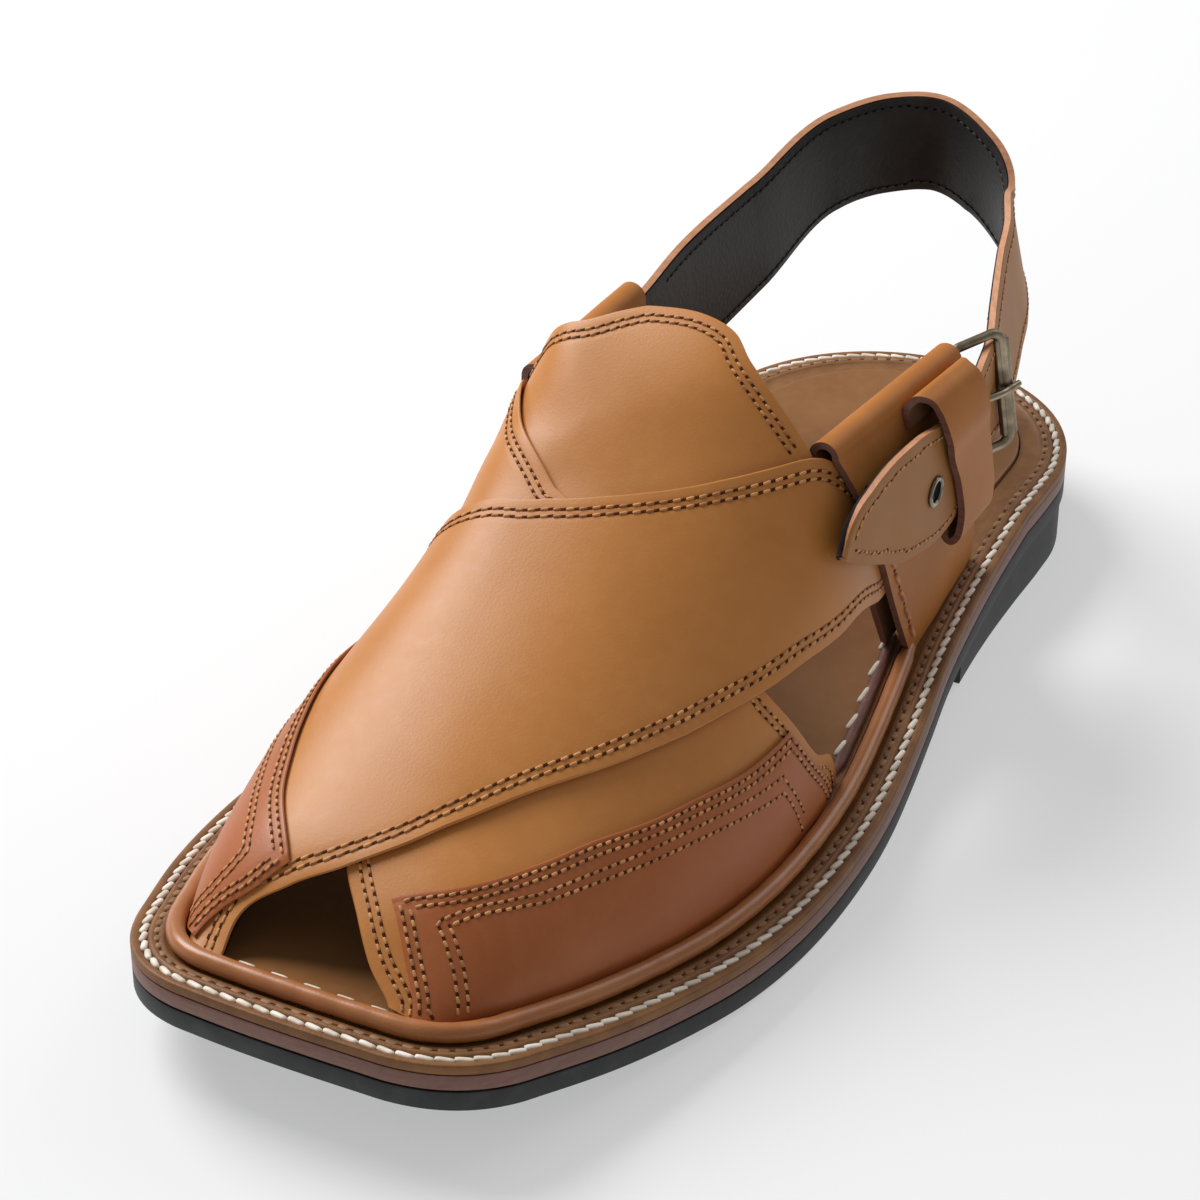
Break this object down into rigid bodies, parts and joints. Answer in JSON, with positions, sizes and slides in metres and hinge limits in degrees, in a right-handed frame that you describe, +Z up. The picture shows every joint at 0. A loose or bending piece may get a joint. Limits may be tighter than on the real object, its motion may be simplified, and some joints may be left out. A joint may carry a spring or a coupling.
{
  "type": "peshawari chappal",
  "caption": "Left leather sandal with two crossed bands, a rounded tongue, folded side quarters, a buckled heel strap and a low heeled rubber sole; open at the toe and the sides.",
  "frame": {"origin": "on the floor, under the middle of the heel; the shoe stands on its heel block and on the flat of its forefoot", "axes": "-Y points to the toe, +X to the lateral (outer) side of this left shoe, +Z up"},
  "size_m": [0.1155, 0.2911, 0.0968],
  "materials": {
    "outsole": "matt black rubber sheet",
    "heel": "matt black rubber",
    "midsole": "dull reddish brown stacked leather edge",
    "welt": "brown leather strip",
    "rand": "glossy rolled leather bead",
    "insole": "worn brown leather footbed",
    "upper": "smooth tan leather, burnished",
    "overlay_medial": "reddish brown leather",
    "overlay_lateral": "reddish brown leather",
    "quarter_medial": "smooth tan leather",
    "quarter_lateral": "smooth tan leather",
    "keeper_loop": "smooth tan leather",
    "heel_strap": "tan leather strap with raw edges",
    "strap_eyelet": "small nickel ring",
    "buckle_frame": "antiqued pewter-coloured metal",
    "buckle_prong": "antiqued pewter-coloured metal"
  },
  "bodies": {
    "root": {"outsole": "outsole", "heel": "heel", "midsole": "midsole", "welt": "welt", "rand": "rand", "insole": "insole", "upper": "upper", "overlay_medial": "overlay_medial", "overlay_lateral": "overlay_lateral", "quarter_medial": "quarter_medial", "quarter_lateral": "quarter_lateral", "keeper_loop": "keeper_loop", "heel_strap": "heel_strap", "strap_eyelet": "strap_eyelet", "buckle_frame": "buckle_frame", "buckle_prong": "buckle_prong"}
  },
  "joints": []
}
